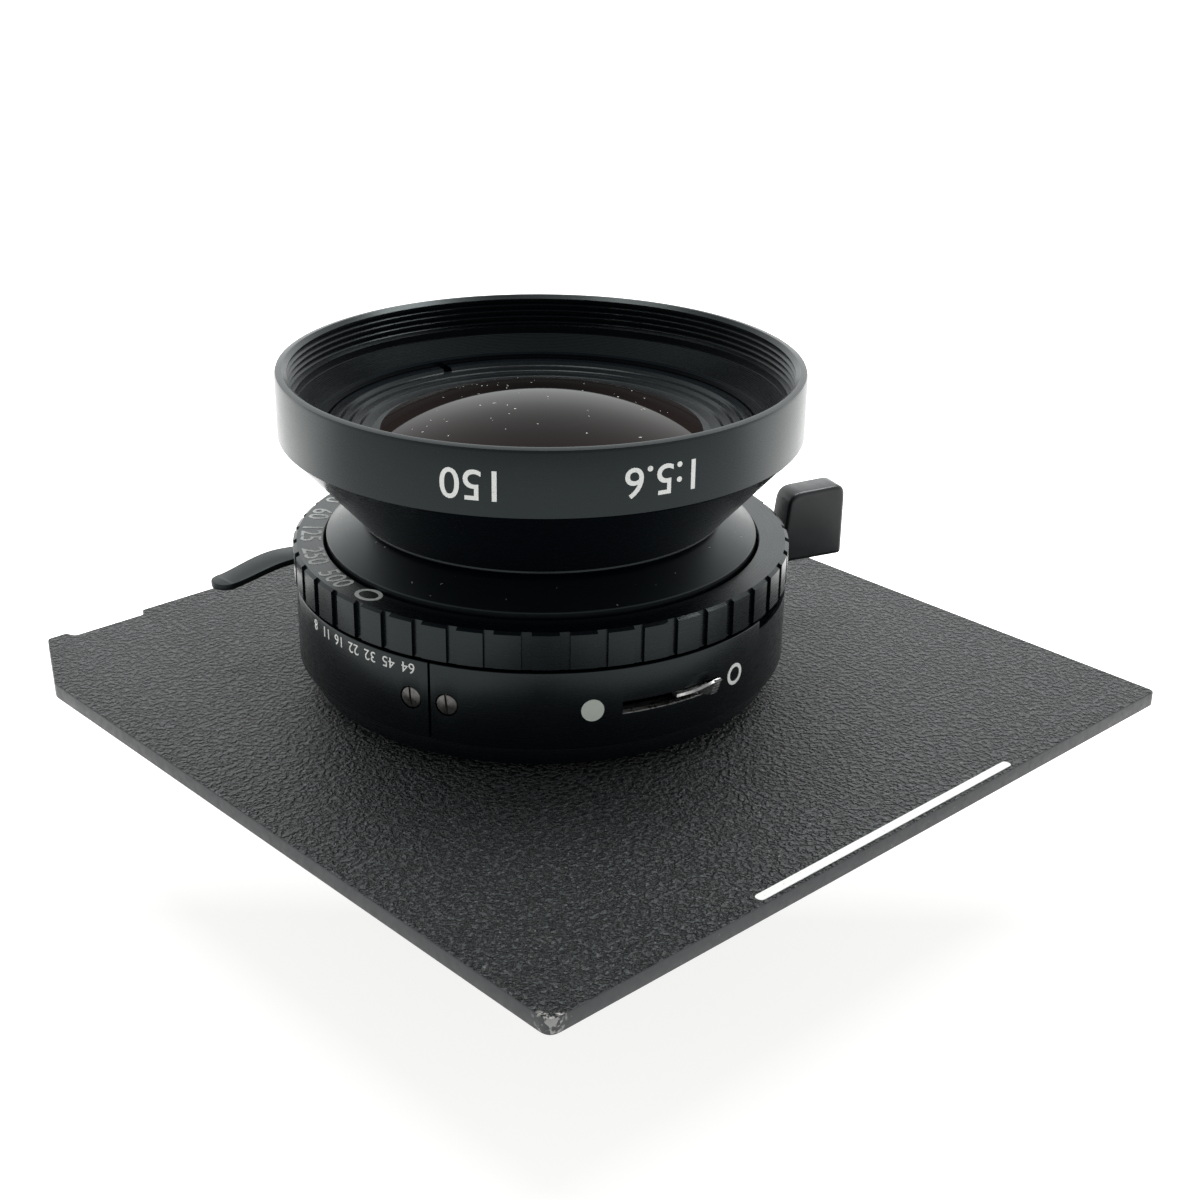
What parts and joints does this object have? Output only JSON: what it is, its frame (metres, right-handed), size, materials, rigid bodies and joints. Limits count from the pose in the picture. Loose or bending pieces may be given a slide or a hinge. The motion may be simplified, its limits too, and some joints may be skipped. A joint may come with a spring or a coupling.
{
  "type": "view-camera lens in leaf shutter",
  "caption": "Large-format camera lens in a size-0 leaf shutter with knurled speed ring and levers, mounted on a flat black technical-camera lens board.",
  "frame": {"origin": "centre of the lens board outline, in the plane of the rear rim on which the part stands", "axes": "+Z out of the front of the lens along the optical axis, +Y towards the board edge that has the notch, +X to the right seen from the front with +Y up"},
  "size_m": [0.096, 0.099, 0.0579],
  "materials": {
    "wrinkle_paint": "fine black wrinkle paint on a sheet-aluminium board",
    "white_paint": "white filled index paint, slightly worn",
    "black_anodised": "black anodised turned aluminium, satin",
    "black_satin": "smooth semi-gloss black on a turned cone",
    "black_lacquer": "matte black lacquer",
    "black_plastic": "moulded black plastic",
    "steel": "bright steel",
    "dark_steel": "blackened spring steel",
    "brass": "turned brass",
    "coated_glass": "multi-element optical glass with a brown-purple coating"
  },
  "bodies": {
    "lens_and_board": {"lens_board": "wrinkle_paint", "index_stripe": "white_paint", "flange_ring": "black_anodised", "shutter_housing": "black_lacquer", "outer_band": "black_anodised", "band_screw_left": "dark_steel", "band_screw_right": "dark_steel", "mechanism_plate": "brass", "front_cover": "black_satin", "main_spring": "steel", "release_lever_pin": "steel", "cable_release_socket": "steel", "sync_socket": "steel", "sync_contact_pin": "brass", "retard_bridge": "brass", "front_barrel": "black_anodised", "front_retaining_ring": "black_anodised", "front_outer_element": "coated_glass", "front_cemented_element": "coated_glass", "front_spacer_ring": "black_lacquer", "front_inner_element": "coated_glass", "front_inner_retaining_ring": "black_lacquer", "rear_barrel": "black_anodised", "rear_inner_element": "coated_glass", "rear_inner_retaining_ring": "black_lacquer", "rear_cemented_element": "coated_glass", "rear_outer_element": "coated_glass", "rear_retaining_ring": "black_anodised"},
    "speed_control": {"speed_ring": "black_anodised", "speed_cam_ring": "steel"},
    "cocking": {"cocking_ring": "steel", "cocking_lever": "steel", "cocking_lever_cap": "black_plastic"},
    "release": {"release_lever": "black_lacquer"},
    "press_focus": {"blade_ring": "steel", "press_focus_tab": "steel"},
    "aperture": {"aperture_ring": "black_anodised", "aperture_lever": "steel", "iris_cam_ring": "steel"},
    "large_gear": {"retard_gear_large": "brass"},
    "small_gear": {"retard_gear_small": "brass"},
    "escapement_wheel": {"escape_wheel": "brass"},
    "pallet": {"escape_pallet": "steel"},
    "shutter_leaf_1": {"shutter_blade_1": "dark_steel"},
    "iris_leaf_1": {"iris_blade_1": "dark_steel"},
    "shutter_leaf_2": {"shutter_blade_2": "dark_steel"},
    "iris_leaf_2": {"iris_blade_2": "dark_steel"},
    "shutter_leaf_3": {"shutter_blade_3": "dark_steel"},
    "iris_leaf_3": {"iris_blade_3": "dark_steel"},
    "shutter_leaf_4": {"shutter_blade_4": "dark_steel"},
    "iris_leaf_4": {"iris_blade_4": "dark_steel"},
    "shutter_leaf_5": {"shutter_blade_5": "dark_steel"},
    "iris_leaf_5": {"iris_blade_5": "dark_steel"}
  },
  "joints": [
    {"name": "speed_ring_turn", "type": "hinge", "parent": "lens_and_board", "child": "speed_control", "pos_m": [-0.00094, 0.00485, 0.0352], "axis": [0, 0, 1], "range_deg": [-75, 90]},
    {"name": "cocking_lever_swing", "type": "hinge", "parent": "lens_and_board", "child": "cocking", "pos_m": [-0.00094, 0.00485, 0.0323], "axis": [0, 0, 1], "range_deg": [-46, 0], "stiffness_Nm_per_rad": 0.005},
    {"name": "release_lever_swing", "type": "hinge", "parent": "lens_and_board", "child": "release", "pos_m": [-0.01387, 0.02554, 0.0321], "axis": [0, 0, 1], "range_deg": [0, 10], "stiffness_Nm_per_rad": 0.002},
    {"name": "press_focus_swing", "type": "hinge", "parent": "lens_and_board", "child": "press_focus", "pos_m": [-0.00094, 0.00485, 0.028], "axis": [0, 0, 1], "range_deg": [-12.5, 0]},
    {"name": "aperture_lever_swing", "type": "hinge", "parent": "lens_and_board", "child": "aperture", "pos_m": [-0.00094, 0.00485, 0.0224], "axis": [0, 0, 1], "range_deg": [-48, 0]},
    {"name": "shutter_leaf_1_pivot", "type": "hinge", "parent": "lens_and_board", "child": "shutter_leaf_1", "pos_m": [0.02066, 0.00485, 0.0254], "axis": [0, 0, 1], "range_deg": [0, 32]},
    {"name": "shutter_leaf_2_pivot", "type": "hinge", "parent": "lens_and_board", "child": "shutter_leaf_2", "pos_m": [0.00573, 0.02539, 0.0254], "axis": [0, 0, 1], "range_deg": [0, 32]},
    {"name": "shutter_leaf_3_pivot", "type": "hinge", "parent": "lens_and_board", "child": "shutter_leaf_3", "pos_m": [-0.01842, 0.01755, 0.0254], "axis": [0, 0, 1], "range_deg": [0, 32]},
    {"name": "shutter_leaf_4_pivot", "type": "hinge", "parent": "lens_and_board", "child": "shutter_leaf_4", "pos_m": [-0.01842, -0.00785, 0.0254], "axis": [0, 0, 1], "range_deg": [0, 32]},
    {"name": "shutter_leaf_5_pivot", "type": "hinge", "parent": "lens_and_board", "child": "shutter_leaf_5", "pos_m": [0.00573, -0.01569, 0.0254], "axis": [0, 0, 1], "range_deg": [0, 32]},
    {"name": "iris_leaf_1_pivot", "type": "hinge", "parent": "lens_and_board", "child": "iris_leaf_1", "pos_m": [0.01861, 0.01196, 0.0224], "axis": [0, 0, 1], "range_deg": [0, 24]},
    {"name": "iris_leaf_2_pivot", "type": "hinge", "parent": "lens_and_board", "child": "iris_leaf_2", "pos_m": [-0.00167, 0.02564, 0.0224], "axis": [0, 0, 1], "range_deg": [0, 24]},
    {"name": "iris_leaf_3_pivot", "type": "hinge", "parent": "lens_and_board", "child": "iris_leaf_3", "pos_m": [-0.02093, 0.01058, 0.0224], "axis": [0, 0, 1], "range_deg": [0, 24]},
    {"name": "iris_leaf_4_pivot", "type": "hinge", "parent": "lens_and_board", "child": "iris_leaf_4", "pos_m": [-0.01257, -0.01239, 0.0224], "axis": [0, 0, 1], "range_deg": [0, 24]},
    {"name": "iris_leaf_5_pivot", "type": "hinge", "parent": "lens_and_board", "child": "iris_leaf_5", "pos_m": [0.01187, -0.01154, 0.0224], "axis": [0, 0, 1], "range_deg": [0, 24]},
    {"name": "large_gear_spin", "type": "hinge", "parent": "lens_and_board", "child": "large_gear", "pos_m": [-0.02308, 0.00252, 0.0311], "axis": [0, 0, 1], "range_deg": [0, 267]},
    {"name": "small_gear_spin", "type": "hinge", "parent": "lens_and_board", "child": "small_gear", "pos_m": [-0.02308, -0.00307, 0.0311], "axis": [0, 0, 1], "range_deg": [-356, 0]},
    {"name": "escapement_wheel_spin", "type": "hinge", "parent": "lens_and_board", "child": "escapement_wheel", "pos_m": [-0.02094, -0.00677, 0.0311], "axis": [0, 0, 1], "range_deg": [0, 445]},
    {"name": "pallet_rock", "type": "hinge", "parent": "lens_and_board", "child": "pallet", "pos_m": [-0.01993, -0.00955, 0.0311], "axis": [0, 0, 1], "range_deg": [-5, 5]}
  ],
  "couplings": [
    {"joint": "shutter_leaf_1_pivot", "follows": "press_focus_swing", "ratio": -2.56},
    {"joint": "shutter_leaf_2_pivot", "follows": "press_focus_swing", "ratio": -2.56},
    {"joint": "shutter_leaf_3_pivot", "follows": "press_focus_swing", "ratio": -2.56},
    {"joint": "shutter_leaf_4_pivot", "follows": "press_focus_swing", "ratio": -2.56},
    {"joint": "shutter_leaf_5_pivot", "follows": "press_focus_swing", "ratio": -2.56},
    {"joint": "iris_leaf_1_pivot", "follows": "aperture_lever_swing", "ratio": -0.5},
    {"joint": "iris_leaf_2_pivot", "follows": "aperture_lever_swing", "ratio": -0.5},
    {"joint": "iris_leaf_3_pivot", "follows": "aperture_lever_swing", "ratio": -0.5},
    {"joint": "iris_leaf_4_pivot", "follows": "aperture_lever_swing", "ratio": -0.5},
    {"joint": "iris_leaf_5_pivot", "follows": "aperture_lever_swing", "ratio": -0.5},
    {"joint": "large_gear_spin", "follows": "cocking_lever_swing", "ratio": -5.8},
    {"joint": "small_gear_spin", "follows": "cocking_lever_swing", "ratio": 7.7333},
    {"joint": "escapement_wheel_spin", "follows": "cocking_lever_swing", "ratio": -9.6667}
  ]
}
